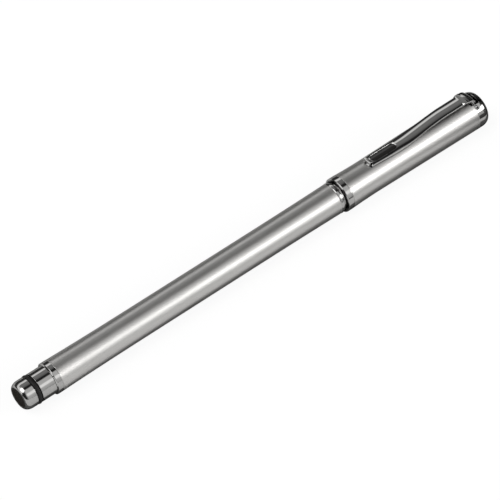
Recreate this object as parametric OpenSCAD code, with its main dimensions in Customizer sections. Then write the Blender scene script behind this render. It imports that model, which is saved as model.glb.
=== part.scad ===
// Capped stylus pen: tail plug with seal ring, waisted barrel, sprung disc tip under a push-on cap,
// and a sprung sheet clip hinged on a cross pin in the crown ring.
// The pen lies along X with its tail at low X, its crown at high X and the clip on top.
// Lengths are in millimetres. Stations called x_ run from the tail face along the axis.

/* [Lengths along the pen] */
// Bare length of the tail plug
tail_l = 8.4; // [7:0.1:12]
// Length of the ring between the tail plug and the barrel
tail_ring_l = 1.6; // [1.2:0.1:3]
// Length of the barrel tube
barrel_l = 83.3; // [65:0.1:100]
// Length of the bead ring at the front of the barrel
front_ring_l = 1.1; // [0.8:0.1:2]
// Open gap between the bead ring and the cap
cap_gap = 0.7; // [0.3:0.1:1.5]
// Length of the ring at the cap's mouth
lip_ring_l = 1.7; // [1.2:0.1:3]
// Length of the cap's satin tube
cap_tube_l = 39.9; // [38:0.1:48]
// Length of the crown ring
crown_l = 3.3; // [3.2:0.1:4.5]

/* [Diameters] */
// Diameter of the tail plug and of the spigot that the cap sits on
plug_d = 7.3; // [6.8:0.05:7.5]
// Diameter of the tail's flat face
tail_face_d = 5.24; // [4:0.05:6]
// Barrel diameter next to the tail ring
barrel_tail_d = 8.2; // [8:0.02:8.6]
// Barrel diameter at its waist
barrel_waist_d = 7.78; // [7.7:0.02:8]
// Barrel diameter next to the bead ring
barrel_front_d = 8.06; // [8:0.02:8.4]
// Largest diameter of the bead ring
bead_d = 8.16; // [8.1:0.02:8.6]
// Cap diameter at its mouth
cap_mouth_d = 9.08; // [8.9:0.02:9.6]
// Cap diameter at its neck, the narrowest place
cap_neck_d = 8.72; // [8.7:0.02:9]
// Cap diameter at the crown
cap_crown_d = 9.3; // [9.2:0.02:9.8]
// Diameter of the crown's flat end
crown_face_d = 7.4; // [6.6:0.05:8]
// Diameter of the clear disc at the tip
disc_d = 6; // [5:0.1:6.2]

/* [Walls and fits] */
// Wall of the barrel tube at its waist
barrel_wall = 0.38; // [0.3:0.01:0.5]
// Wall of the cap's liner sleeve
liner_t = 0.22; // [0.15:0.01:0.25]
// Thread diameter of the plug and of the section in their bushes
thread_d = 5.8; // [5:0.1:6.2]
// Cord diameter of both seal rings
seal_cord_d = 1.3; // [1:0.05:1.4]
// How far a seal ring stands out of its groove
seal_proud = 0.14; // [0.08:0.01:0.16]
// Radial room between a seal ring and the cap's liner
cap_fit = 0.04; // [0.02:0.01:0.08]
// Radial running room of a shaft in its bore
run_fit = 0.05; // [0.02:0.01:0.08]
// Room between flat faces that slide or turn on each other
face_fit = 0.05; // [0.02:0.01:0.1]

/* [Tip] */
// Length of the spigot under the cap
spigot_l = 19; // [17:0.1:20]
// Length of the tip holder's nose cone
nose_l = 7; // [6:0.1:7.4]
// Diameter of the nose cone's front end
nose_d = 2.7; // [2.4:0.1:3.4]
// Diameter of the stem that carries the ball
stem_d = 1.6; // [1.4:0.05:1.8]
// Diameter of the ball
ball_d = 2; // [1.8:0.05:2.2]
// Thickness of the clear disc
disc_t = 1; // [0.8:0.1:1.2]
// How far the tip gives way when it is pressed
press_travel = 0.8; // [0.4:0.1:1]
// Wire diameter of the cushion spring
tip_wire_d = 0.3; // [0.2:0.02:0.36]
// Turns of the cushion spring
tip_turns = 10; // [7:1:11]

/* [Clip] */
// Length of the clip from its tip to the pin
clip_l = 32.7; // [28:0.1:35]
// Width of the clip's paddle
paddle_w = 4.2; // [3.6:0.1:4.6]
// Width of the clip at its narrow part
clip_waist_w = 3.44; // [3:0.02:3.6]
// Width of the clip at its root
clip_root_w = 3.9; // [3.4:0.1:4.2]
// Thickness of the clip's sheet
clip_t = 0.5; // [0.4:0.02:0.56]
// Radius that the clip's sheet is arched to across its width
clip_arch_r = 4.4; // [4.4:0.1:8]
// Height of the clip's back above the cap, over the paddle
paddle_lift = 0.56; // [0.55:0.01:0.8]
// Height of the clip's back above the cap, at the crown
root_lift = 1.55; // [1.45:0.01:1.8]
// Length of the paddle before the clip narrows
paddle_l = 6.7; // [5:0.1:9]
// Length of the window in the paddle
window_l = 7.4; // [5:0.1:8.4]
// Width of the window in the paddle
window_w = 2.4; // [2:0.1:2.8]
// Depth of the inlay below the face of the paddle
inlay_sunk = 0.2; // [0.1:0.01:0.25]
// Diameter of the clip's hinge pin
pin_d = 0.9; // [0.7:0.05:1]
// Radius of the knuckle round the pin
knuckle_r = 0.9; // [0.85:0.01:1]
// Side room of the clip in its notch
notch_side = 0.2; // [0.1:0.02:0.3]
// Wire diameter of the clip spring
clip_wire_d = 0.18; // [0.14:0.01:0.2]
// Turns of the clip spring
clip_turns = 8; // [6:1:8]

/* [Hidden] */
$fn = 96;

// stations along the axis
x_tail_ring = tail_l;
x_barrel = x_tail_ring + tail_ring_l;
x_front_ring = x_barrel + barrel_l;
x_neck = x_front_ring + front_ring_l;
x_lip = x_neck + cap_gap;
x_cap = x_lip + lip_ring_l;
x_crown = x_cap + cap_tube_l;
x_end = x_crown + crown_l;
x_seat = x_neck + spigot_l;
x_nose = x_seat + nose_l;

// radii of what fits together
plug_r = plug_d / 2;
seal_r = plug_r + seal_proud;
groove_r = seal_r - seal_cord_d - 0.02;
groove_w = seal_cord_d + 0.1;
thread_r = thread_d / 2;
barrel_bore_r = barrel_waist_d / 2 - barrel_wall;
liner_bore_r = seal_r + cap_fit;
cap_bore_r = liner_bore_r + liner_t;
cap_mouth_r = cap_mouth_d / 2;
cap_neck_r = cap_neck_d / 2;
cap_crown_r = cap_crown_d / 2;
bush_l = 11;
axis_h = max(cap_crown_r, cap_mouth_r);

// tail plug
tail_corner_l = 1.26;
tail_seal_x = 3.81;

// flares of the tubes
tail_flare_l = 25;
front_flare_l = 35;
mouth_flare_l = 8;
tail_flare_power = 2.5;

// cap
neck_x = x_cap + mouth_flare_l;
lip_edge = 0.25;
liner_flange_l = 0.8;
liner_flange_r = disc_d / 2 + 0.2;
x_liner_end = x_seat + face_fit + liner_flange_l;
crown_spigot_l = 0.7;
x_plug_end = x_crown - crown_spigot_l;
cap_plug_l = 4.8;
x_plug = x_plug_end - cap_plug_l;
crown_bore_r = 2.4;
finial_head_l = 1.1;
finial_head_r = crown_face_d / 2 - 0.7;
finial_shank_r = 0.7;
x_finial = x_end - finial_head_l;
crown_band_l = 1.65;
crown_bevel_l = crown_l - crown_band_l;

// section and tip
seal_setback = 6;
section_seal_x = x_neck + seal_setback;
holder_thread_r = 2.1;
holder_shank_l = 10;
holder_base_r = disc_d / 2 + 0.05;
x_chamber = x_seat - holder_shank_l;
chamber_r = 1.5;
screw_l = 2;
x_step = x_nose - 3.2;
head_l = 1.2;
follower_l = 1;
x_head = x_step - face_fit - head_l;
x_follower = x_head - face_fit - follower_l;
slide_r = chamber_r - run_fit;
stem_r = stem_d / 2;
stem_bore_r = stem_r + run_fit;
neck_r = 0.5;
ball_r = ball_d / 2;
stem_out = press_travel + 0.2;
x_ball = x_nose + stem_out + 0.6 + ball_r;
socket_r = ball_r + 0.6;
socket_bore_r = ball_r + run_fit;
socket_mouth = 0.6;
socket_front = socket_bore_r + 0.3;
boss_r = 1;
boss_l = disc_t - 0.2;

// clip: the pin sits in the crown ring, the knuckle turns on it and the heel leans on the spring
pin_r = pin_d / 2;
x_pin = x_crown + pin_r + 0.05;
pin_h = cap_crown_r - 1.05;
x_tip = x_pin - clip_l;
roll_r = 0.4;
tip_clear = 0.03;
clip_root_h = cap_crown_r + root_lift;
bend_r = 2.5;
x_bend = x_pin + knuckle_r - bend_r;
bend_h = clip_root_h - bend_r;
rise_l = 20;
x_rise = x_bend + bend_r - rise_l;
taper_l = 9;
x_taper = x_tip + paddle_l;
root_flare_l = 14;
x_root_flare = x_bend - root_flare_l;
window_setback = 1.9;
notch_r = clip_root_w / 2 + notch_side;
x_notch_end = x_pin + knuckle_r + 0.35;
notch_floor = 1.6;
pin_half_l = 2.85;
heel_x = x_pin - 0.1;
heel_t = 0.6;
heel_w = 1.8;
heel_h = 1.15;
pocket_h = 1.75;
pocket_r = 0.8;
x_pocket = x_plug + 1;
lift_room = 0.02;

// a bell-mouthed rise from 0 at the far end of a flare to 1 at its mouth
function flare(d, l, p) = d >= l ? 0 : pow(1 - d / l, p);
function smooth(t) = t <= 0 ? 0 : t >= 1 ? 1 : t * t * (3 - 2 * t);
function mix(a, b, t) = a + (b - a) * t;

// outer radius of the barrel and of the cap at a station
function barrel_r(x) = barrel_waist_d / 2
  + (barrel_tail_d - barrel_waist_d) / 2 * flare(x - x_barrel, tail_flare_l, tail_flare_power)
  + (barrel_front_d - barrel_waist_d) / 2 * flare(x_front_ring - x, front_flare_l, 3);
function cap_r(x) = mix(cap_neck_r, cap_crown_r, max(0, x - neck_x) / (x_crown - neck_x))
  + (cap_mouth_r - cap_neck_r) * flare(max(0, x - x_cap), mouth_flare_l, 2);

// height of the clip's back above the axis, its half width and its slope at a station
function clip_back(x) = mix(cap_r(x_tip) + paddle_lift + 0.08, clip_root_h, smooth((x - x_rise) / rise_l));
function clip_half(x) = mix(paddle_w, clip_waist_w, smooth((x - x_taper) / taper_l)) / 2
  + (clip_root_w - clip_waist_w) / 2 * smooth((x - x_root_flare) / root_flare_l);
function clip_slope(x) = atan2(clip_back(x + 0.1) - clip_back(x - 0.1), 0.2);

// a turned piece: points are [radius, station]
module turn(points) rotate([0, 90, 0]) rotate_extrude() polygon(points);

// a plain round bar or a tube along the axis
module bar(r, x0, x1, h = 0) translate([x0, 0, h]) rotate([0, 90, 0]) cylinder(r = r, h = x1 - x0);
module sleeve(r, bore, x0, x1) turn([[bore, x0], [r, x0], [r, x1], [bore, x1]]);

// a solid swept through equal rings of points, ring by ring
module loft(rings) {
  n = len(rings[0]);
  m = len(rings);
  points = [for (ring = rings) for (p = ring) p];
  sides = [for (i = [0 : m - 2]) for (j = [0 : n - 1]) for (half = [0, 1])
    let (k = (j + 1) % n)
    half == 0 ? [i * n + j, i * n + k, (i + 1) * n + k] : [i * n + j, (i + 1) * n + k, (i + 1) * n + j]];
  first = [for (j = [1 : n - 2]) [0, j + 1, j]];
  last = [for (j = [1 : n - 2]) [(m - 1) * n, (m - 1) * n + j, (m - 1) * n + j + 1]];
  polyhedron(points, concat(sides, first, last));
}

// a round wire spring along X, with so many rings to a turn, and the least gap between its turns
coil_rings = 8;
module coil(r, wire, x0, x1, turns, h = 0) {
  steps = turns * coil_rings;
  turned = 360 / coil_rings;
  points = [for (i = [0 : steps])
    [mix(x0 + wire / 2, x1 - wire / 2, i / steps), r * cos(i * turned), h + r * sin(i * turned)]];
  echo(least_gap = min([for (i = [0 : steps - coil_rings]) norm(points[i + coil_rings] - points[i])]) - wire);
  loft([for (i = [0 : steps]) let (a = i * turned)
    [for (s = [0 : 60 : 300]) points[i] + wire / 2 * [sin(s), cos(s) * cos(a), cos(s) * sin(a)]]]);
}

// a seal ring round the axis
module seal(x) rotate([0, 90, 0]) translate([0, 0, x])
  rotate_extrude() translate([seal_r - seal_cord_d / 2, 0]) circle(d = seal_cord_d, $fn = 32);

// the four points of a seal groove, for a turned outline that runs towards high X
function groove(x) = [[plug_r, x - groove_w / 2], [groove_r, x - groove_w / 2],
  [groove_r, x + groove_w / 2], [plug_r, x + groove_w / 2]];

// a quarter-round shoulder between two [radius, station] points, bulging outwards
function shoulder(r0, x0, r1, x1, n = 8) =
  [for (i = [0 : n]) [mix(r0, r1, sin(i * 90 / n)), mix(x0, x1, 1 - cos(i * 90 / n))]];

module tail_plug() color("silver") turn(concat(
  [[0, 0]],
  shoulder(tail_face_d / 2, 0, plug_r, tail_corner_l),
  groove(tail_seal_x),
  [[plug_r, x_tail_ring], [thread_r, x_tail_ring], [thread_r, x_barrel + bush_l - 1], [0, x_barrel + bush_l - 1]]));

module tail_seal() color("black") seal(tail_seal_x);

module tail_ring() color("silver") turn([
  [thread_r, x_tail_ring], [plug_r + 0.1, x_tail_ring], [barrel_tail_d / 2, x_tail_ring + 0.4],
  [barrel_tail_d / 2, x_barrel - 0.08], [barrel_tail_d / 2 - 0.08, x_barrel], [thread_r, x_barrel]]);

module tail_bush() color("goldenrod") sleeve(barrel_bore_r, thread_r, x_barrel, x_barrel + bush_l);

module barrel_tube() color("lightgray") turn(concat(
  [[barrel_bore_r, x_barrel]],
  [for (i = [0 : 40]) let (x = mix(x_barrel, x_front_ring, i / 40)) [barrel_r(x), x]],
  [[barrel_bore_r, x_front_ring]]));

module front_bush() color("goldenrod") sleeve(barrel_bore_r, thread_r, x_front_ring - bush_l, x_front_ring);

// the bead between barrel and cap, with a rounded back
module front_ring() color("silver") turn(concat(
  [[thread_r, x_front_ring]],
  [for (a = [0 : 20 : 180])
    [bead_d / 2 - 0.22 + 0.22 * sin(a), mix(x_front_ring, x_neck, (1 - cos(a)) / 2)]],
  [[thread_r, x_neck]]));

// threaded shank, spigot with the seal groove, and the socket for the tip holder
module grip_section() color("silver") turn(concat(
  [[0, x_front_ring - bush_l + 1], [thread_r, x_front_ring - bush_l + 1], [thread_r, x_neck], [plug_r, x_neck]],
  groove(section_seal_x),
  [[plug_r, x_seat - 0.3], [plug_r - 0.3, x_seat], [holder_thread_r, x_seat],
   [holder_thread_r, x_chamber], [0, x_chamber]]));

module section_seal() color("black") seal(section_seal_x);

// threaded shank, curved nose cone, spring chamber and stem bore
module tip_holder() color("silver") turn(concat(
  [[chamber_r, x_chamber], [holder_thread_r, x_chamber], [holder_thread_r, x_seat]],
  [for (i = [0 : 10]) [mix(holder_base_r, nose_d / 2, pow(i / 10, 1.6)), mix(x_seat, x_nose, i / 10)]],
  [[stem_bore_r, x_nose], [stem_bore_r, x_step], [chamber_r, x_step]]));

module spring_screw() color("goldenrod") difference() {
  bar(chamber_r, x_chamber, x_chamber + screw_l);
  translate([x_chamber, 0, 0]) cube([1.2, 2 * chamber_r + 1, 0.4], center = true);
}

module tip_spring() color("gray")
  coil(chamber_r - tip_wire_d / 2 - 0.2, tip_wire_d, x_chamber + screw_l, x_follower, tip_turns);

// the cup that passes the spring's push to the stem and lets the stem turn
module spring_follower() color("silver") turn([
  [0, x_follower], [slide_r - 0.2, x_follower], [slide_r, x_follower + 0.2],
  [slide_r, x_follower + follower_l], [0, x_follower + follower_l]]);

module ball_stem() color("gray") {
  turn([[0, x_head], [slide_r, x_head], [slide_r, x_head + head_l], [stem_r, x_head + head_l],
    [stem_r, x_nose + stem_out - 0.15], [neck_r, x_nose + stem_out], [neck_r, x_ball], [0, x_ball]]);
  translate([x_ball, 0, 0]) sphere(r = ball_r);
}

// a cup snapped over the ball, with the boss that the disc is bonded on
module disc_socket() color("silver") difference() {
  turn([[0, x_ball - socket_mouth], [socket_r - 0.25, x_ball - socket_mouth], [socket_r, x_ball - socket_mouth + 0.4],
    [socket_r, x_ball + socket_front - 0.3], [socket_r - 0.2, x_ball + socket_front],
    [boss_r, x_ball + socket_front], [boss_r, x_ball + socket_front + boss_l], [0, x_ball + socket_front + boss_l]]);
  translate([x_ball, 0, 0]) sphere(r = socket_bore_r);
}

module tip_disc() color("white", 0.4) turn([
  [boss_r, x_ball + socket_front], [disc_d / 2 - 0.15, x_ball + socket_front],
  [disc_d / 2, x_ball + socket_front + 0.15], [disc_d / 2, x_ball + socket_front + disc_t - 0.2],
  [disc_d / 2 - 0.2, x_ball + socket_front + disc_t], [0, x_ball + socket_front + disc_t],
  [0, x_ball + socket_front + boss_l], [boss_r, x_ball + socket_front + boss_l]]);

module cap_lip_ring() color("silver") turn([
  [cap_bore_r, x_lip], [cap_mouth_r - 0.3, x_lip], [cap_mouth_r - 0.06, x_lip + 0.3],
  [cap_mouth_r, x_lip + 0.45], [cap_mouth_r, x_cap - 0.08], [cap_mouth_r - 0.06, x_cap], [cap_bore_r, x_cap]]);

// the sleeve that joins ring and tube, takes the seal and stops on the section's shoulder
module cap_liner() color("dimgray") turn([
  [liner_bore_r, x_lip + lip_edge], [cap_bore_r, x_lip + lip_edge], [cap_bore_r, x_liner_end],
  [liner_flange_r, x_liner_end], [liner_flange_r, x_liner_end - liner_flange_l],
  [liner_bore_r, x_liner_end - liner_flange_l]]);

// a notch for the clip's root, cut from above
module notch(x0, x1) translate([x0, -notch_r, notch_floor]) cube([x1 - x0, 2 * notch_r, clip_root_h]);

module cap_tube() color("lightgray") difference() {
  turn(concat(
    [[cap_bore_r, x_cap]],
    [for (i = [0 : 6]) let (x = mix(x_cap, neck_x, i / 6)) [cap_r(x), x]],
    [[cap_crown_r, x_crown], [cap_bore_r, x_crown]]));
  notch(x_plug_end, x_crown + 1);
}

module cap_plug() color("goldenrod") difference() {
  bar(cap_bore_r, x_plug, x_plug_end);
  bar(finial_shank_r, x_plug - 1, x_plug_end + 1);
  bar(pocket_r, x_pocket, x_plug_end + 1, pocket_h);
}

module crown_ring() color("silver") difference() {
  turn(concat(
    [[crown_bore_r, x_plug_end], [cap_bore_r, x_plug_end], [cap_bore_r, x_crown], [cap_crown_r - 0.06, x_crown],
     [cap_crown_r, x_crown + 0.1]],
    [for (i = [0 : 6]) [mix(crown_face_d / 2, cap_crown_r, cos(i * 15)), mix(x_end - crown_bevel_l, x_end, sin(i * 15))]],
    [[finial_head_r, x_end], [finial_head_r, x_finial], [crown_bore_r, x_finial]]));
  notch(x_plug_end - 1, x_notch_end);
  translate([x_pin, 0, pin_h]) rotate([90, 0, 0]) cylinder(r = pin_r, h = 4 * cap_crown_r, center = true);
}

// a domed head in the crown's end and a shank that draws the ring onto the plug
module crown_finial() color("silver") turn(concat(
  [[0, x_plug + 0.5], [finial_shank_r, x_plug + 0.5], [finial_shank_r, x_finial], [finial_head_r, x_finial],
   [finial_head_r, x_end - 0.3]],
  [for (i = [5 : -1 : 0]) [finial_head_r * i / 6, x_end - 0.3 + 0.25 * (1 - pow(i / 6, 2))]]));

// the sheet's arched section at a place on its back, turned to the back's slope, from its crest round
function clip_section(x, h, slope, w, top = 0, under = clip_t) =
  let (along = [sin(slope), cos(slope)],
    drop = function(y) clip_arch_r - sqrt(clip_arch_r * clip_arch_r - y * y),
    upper = function(k) [w * k / 4, drop(w * k / 4) + top],
    lower = function(k) [w * k / 4, drop(w * k / 4) + under])
  [for (p = concat([for (k = [0 : 4]) upper(k)], [for (k = [4 : -1 : -4]) lower(k)], [for (k = [-4 : -1]) upper(k)]))
    [x + p[1] * along[0], p[0], h - p[1] * along[1]]];

module clip() color("silver") difference() {
  union() {
    loft(concat(
      [for (i = [0 : 24]) let (x = mix(x_tip + roll_r, x_bend, i / 24))
        clip_section(x, clip_back(x), clip_slope(x), clip_half(x))],
      [for (a = [15 : 15 : 90])
        clip_section(x_bend + bend_r * sin(a), bend_h + bend_r * cos(a), -a, clip_root_w / 2)],
      [clip_section(x_pin + knuckle_r, pin_h, -90, clip_root_w / 2)]));
    translate([x_pin, 0, pin_h]) rotate([90, 0, 0]) cylinder(r = knuckle_r, h = clip_root_w, center = true);
    translate([heel_x, -heel_w / 2, heel_h]) cube([heel_t, heel_w, pin_h - heel_h]);
    translate([x_tip + roll_r, 0, cap_r(x_tip) + tip_clear + roll_r]) rotate([90, 0, 0])
      cylinder(r = roll_r, h = paddle_w - 0.3, center = true);
  }
  window();
  translate([x_pin, 0, pin_h]) rotate([90, 0, 0])
    cylinder(r = pin_r + run_fit, h = 2 * clip_root_w, center = true);
}

// the window, round at both ends
module window() linear_extrude(cap_crown_d) hull() for (x = [window_w / 2, window_l - window_w / 2])
  translate([x_tip + window_setback + x, 0]) circle(d = window_w);

// the black inlay pressed into the window, sunk a little and arched like the sheet
module clip_inlay() color("black") intersection() {
  loft([for (x = [x_tip + window_setback - 0.5, x_tip + window_setback + window_l + 0.5])
    clip_section(x, clip_back(x), 0, paddle_w / 2 - 0.2, inlay_sunk, clip_t)]);
  window();
}

module clip_pin() color("gray") translate([x_pin, 0, pin_h]) rotate([90, 0, 0])
  cylinder(r = pin_r, h = 2 * pin_half_l, center = true);

module clip_spring() color("gray")
  coil(pocket_r - clip_wire_d / 2 - 0.06, clip_wire_d, x_pocket, heel_x - lift_room, clip_turns, pocket_h);

// every piece is drawn about the pen's axis and then stood on its lowest line, centred along X
module place() translate([-x_end / 2, 0, axis_h]) children();

place() tail_plug();
place() tail_seal();
place() tail_ring();
place() tail_bush();
place() barrel_tube();
place() front_bush();
place() front_ring();
place() grip_section();
place() section_seal();
place() tip_holder();
place() spring_screw();
place() tip_spring();
place() spring_follower();
place() ball_stem();
place() disc_socket();
place() tip_disc();
place() cap_lip_ring();
place() cap_liner();
place() cap_tube();
place() cap_plug();
place() crown_ring();
place() crown_finial();
place() clip();
place() clip_inlay();
place() clip_pin();
place() clip_spring();
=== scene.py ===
"""The looks of a capped stylus pen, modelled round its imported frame.

Each operator models one piece or a group of like pieces, and the last one sets the stage. A station is
a distance from the tail face along the pen, and a height is a distance from the pen's axis. Both are in
millimetres.
"""

import math

import bmesh
import bpy
from mathutils import Matrix, Vector


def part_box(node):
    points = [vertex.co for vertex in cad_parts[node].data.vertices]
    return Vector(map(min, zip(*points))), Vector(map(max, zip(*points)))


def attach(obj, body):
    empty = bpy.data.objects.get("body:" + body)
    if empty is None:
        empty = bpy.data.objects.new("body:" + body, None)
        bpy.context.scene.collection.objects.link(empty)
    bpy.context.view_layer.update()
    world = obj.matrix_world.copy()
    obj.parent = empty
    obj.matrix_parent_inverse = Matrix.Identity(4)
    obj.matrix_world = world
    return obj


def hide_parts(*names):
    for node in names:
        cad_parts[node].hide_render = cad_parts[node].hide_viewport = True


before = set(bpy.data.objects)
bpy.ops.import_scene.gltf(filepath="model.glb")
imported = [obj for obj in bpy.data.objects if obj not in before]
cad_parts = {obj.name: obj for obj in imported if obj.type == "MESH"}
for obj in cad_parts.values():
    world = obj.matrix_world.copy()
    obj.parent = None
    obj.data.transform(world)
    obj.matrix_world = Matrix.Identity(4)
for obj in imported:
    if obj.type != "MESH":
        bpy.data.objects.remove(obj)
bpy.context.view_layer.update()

bl_info = {
    "name": "Capped stylus pen",
    "version": (1, 0, 0),
    "blender": (4, 5, 0),
    "location": "3D View > Sidebar > Pen",
    "description": "Models the shown pieces of a capped stylus pen and lights them",
    "category": "Object",
}

MM = 0.001
OWN = "pen_"
TURN_STEPS = 144
SAME_PLACE = 0.0015 * MM
SMOOTH_ANGLE = math.radians(38)
SOFT_ANGLE = math.radians(40)

# how an outline's corners are rounded: the first two are in millimetres, the third is a share of a side
HOLD = 0.03
LEAST_CUT = 0.004
MOST_OF_A_SIDE = 0.42
ARC_STEP = math.radians(15)

TAIL_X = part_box("tail_plug")[0].x
AXIS_Z = (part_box("tail_ring")[0].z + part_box("tail_ring")[1].z) / 2


def station(node, end):
    """The station of a node's tail end (0) or crown end (1)."""
    return (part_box(node)[end].x - TAIL_X) / MM


def reach(node):
    """How far a turned node reaches from the axis."""
    low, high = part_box(node)
    return (high.y - low.y) / 2 / MM


X_PLUG_RING = station("tail_ring", 0)
X_BARREL = station("barrel_tube", 0)
X_BEAD = station("front_ring", 0)
X_NECK = station("front_ring", 1)
X_LIP = station("cap_lip_ring", 0)
X_CAP = station("cap_tube", 0)
X_CROWN = station("cap_tube", 1)
X_CROWN_ROOT = station("crown_ring", 0)
X_END = station("crown_ring", 1)
X_CHAMBER = station("tip_holder", 0)
X_NOSE = station("tip_holder", 1)
X_CLIP = station("clip", 0)
X_PIN = (station("clip_pin", 0) + station("clip_pin", 1)) / 2
X_TAIL_SEAL = (station("tail_seal", 0) + station("tail_seal", 1)) / 2
X_SECTION_SEAL = (station("section_seal", 0) + station("section_seal", 1)) / 2
SEAL_R = reach("tail_seal")
BARREL_R = reach("tail_ring")
MOUTH_R = reach("cap_lip_ring")
CROWN_R = reach("crown_ring")
PIN_R = (station("clip_pin", 1) - station("clip_pin", 0)) / 2
PIN_H = ((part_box("clip_pin")[0].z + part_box("clip_pin")[1].z) / 2 - AXIS_Z) / MM
ROOT_H = (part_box("clip")[1].z - AXIS_Z) / MM

# sizes that several pieces share
SEAL_PROUD = 0.14
PLUG_R = SEAL_R - SEAL_PROUD
THREAD_DEPTH = 0.75
THREAD_R = PLUG_R - THREAD_DEPTH
THREAD_L = 10
SHANK_R = 2.1
CHAMBER_R = 1.5
NOSE_L = 7
X_SEAT = X_NOSE - NOSE_L
MOUTH_FLARE_L = 8
KNUCKLE_R = 0.9
NOTCH_FLOOR = 1.6
NOTCH_TOP = 7


def length(name, description, millimetres):
    """A size that a user may change, kept in metres and given here in millimetres."""
    default = millimetres * MM
    return bpy.props.FloatProperty(
        name=name, description=description, default=default, min=0, precision=5, unit="LENGTH"
    )


def colour(name, description, level):
    """A finish's colour that a user may change."""
    return bpy.props.FloatVectorProperty(
        name=name, description=description, default=level, min=0, max=1, size=3, subtype="COLOR"
    )


def share(name, description, level):
    """A factor from 0 to 1 that a user may change."""
    return bpy.props.FloatProperty(
        name=name, description=description, default=level, min=0, max=1, subtype="FACTOR"
    )


class PenSizes(bpy.types.PropertyGroup):
    """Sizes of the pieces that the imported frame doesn't give."""

    tail_face_d: length("Tail face diameter", "Flat end of the tail plug", 5.24)
    tail_corner_l: length("Tail corner length", "Rounded corner of the plug", 1.9)
    seal_cord_d: length("Seal cord diameter", "Cord of both seal rings", 1.3)
    ring_bevel_l: length("Tail ring bevel", "Bevel on the tail ring's back", 0.26)
    barrel_waist_d: length("Barrel waist diameter", "Narrowest barrel", 7.78)
    barrel_front_d: length("Barrel front diameter", "Next to the bead", 8.06)
    barrel_wall: length("Barrel wall", "Wall of the barrel at its waist", 0.38)
    cap_neck_d: length("Cap neck diameter", "Narrowest place of the cap", 8.72)
    cap_gap: length("Cap bore gap", "From the seal out to the cap's bore", 0.26)
    crown_face_d: length("Crown face diameter", "Flat end of the crown", 7.4)
    clip_t: length("Clip thickness", "Sheet of the clip", 0.5)
    clip_arch_r: length("Clip arch radius", "Arch of the sheet across its width", 4.4)
    tip_w: length("Clip tip width", "Clip width at its tip", 3.1)
    paddle_w: length("Paddle width", "Widest place of the paddle", 4.24)
    waist_w: length("Clip waist width", "Narrowest place of the clip", 3.48)
    root_w: length("Clip root width", "Clip width at the crown", 3.9)
    notch_w: length("Notch width", "Notch that the clip's root turns in", 4.3)
    window_l: length("Window length", "Opening in the paddle", 7.4)
    window_w: length("Window width", "Under the window's bevel", 2.24)
    window_edge: length("Window edge", "How far below the crest the window's bevel starts", 0.21)
    inlay_sunk: length("Inlay depth", "How far the inlay lies below the paddle", 0.2)
    edge_r: length("Edge radius", "Small radius on turned edges", 0.06)


class PenFinishes(bpy.types.PropertyGroup):
    """Colours and gloss of the finishes."""

    aluminium: colour("Satin aluminium", "Barrel and cap", (0.42, 0.415, 0.405))
    aluminium_gloss: share("Satin roughness", "Barrel and cap", 0.37)
    chrome: colour("Polished chrome", "Rings, plug and clip", (0.33, 0.327, 0.321))
    chrome_gloss: share("Chrome roughness", "Rings, plug and clip", 0.07)
    # The tail face's colour is chrome painted darker: a painted dark reflection.
    face: colour("Tail face", "Turned end of the plug", (0.135, 0.125, 0.115))
    rubber: colour("Rubber", "Seal rings", (0.006, 0.0055, 0.0055))
    inlay: colour("Black inlay", "In the clip's window", (0.007, 0.0065, 0.006))
    brass: colour("Brass", "Bushes and screws", (0.62, 0.42, 0.17))
    steel: colour("Spring steel", "Springs, pin and stem", (0.42, 0.42, 0.42))
    liner: colour("Liner plastic", "Sleeve inside the cap", (0.05, 0.05, 0.052))
    disc: colour("Clear disc", "Disc at the tip", (0.95, 0.96, 0.97))


class PenStage(bpy.types.PropertyGroup):
    """Camera and lights."""

    lens: bpy.props.FloatProperty(
        name="Lens", description="Focal length", default=244.8, unit="CAMERA"
    )
    camera_away: length("Camera distance", "From the point it aims at", 802.2)
    key_w: length("Key width", "Across the pen", 423)
    key_l: length("Key length", "Along the pen", 686)
    key_away: length("Lamp distance", "From the pen's middle", 1200)
    key_power: bpy.props.FloatProperty(
        name="Key power", description="Power of the key lamp", default=6.6, unit="POWER"
    )
    fill_power: bpy.props.FloatProperty(
        name="Fill power", description="Power of the fill lamp", default=5.2, unit="POWER"
    )
    lift: share("Floor lift", "How much of the floor's white doesn't wait for light", 0.9)
    shine: share("Floor shine", "The same, as metal and glass see the floor", 0.08)


def sizes():
    """The pen's sizes in millimetres."""
    group = bpy.context.scene.pen_sizes
    names = PenSizes.__annotations__
    return type("Sizes", (), {name: getattr(group, name) / MM for name in names})


def place(x, h, y=0):
    """The row-frame point of a station, a height above the axis and a sideways distance."""
    return Vector((TAIL_X + x * MM, y * MM, AXIS_Z + h * MM))


def mix(a, b, t):
    """The value a share t of the way from a to b."""
    return a + (b - a) * t


def step(x, start, span):
    """A soft step from 0 to 1 that starts at a station and takes a span."""
    t = min(1, max(0, (x - start) / span))
    return t * t * (3 - 2 * t)


def flare(distance, span, power):
    """A bell mouth that falls from 1 to 0 over a span."""
    return max(0, 1 - distance / span) ** power


# materials

METAL_EDGE = (0.3, 0.3, 0.3, 1)
MORE_LOOKS = {
    "black_rubber": {"Specular IOR Level": 0.2},
    "black_inlay": {"Specular IOR Level": 0.27},
    "clear_disc": {"Transmission Weight": 1, "IOR": 1.49},
}


def new_finish(name, roughness, metallic):
    """A new material with a Principled shader, its tree and its shader."""
    material = bpy.data.materials.new(OWN + name)
    material.use_nodes = True
    tree = material.node_tree
    shader = next(n for n in tree.nodes if n.type == "BSDF_PRINCIPLED")
    shader.inputs["Roughness"].default_value = roughness
    shader.inputs["Metallic"].default_value = metallic
    if metallic:
        shader.inputs["Specular Tint"].default_value = METAL_EDGE
    return tree, shader


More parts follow.
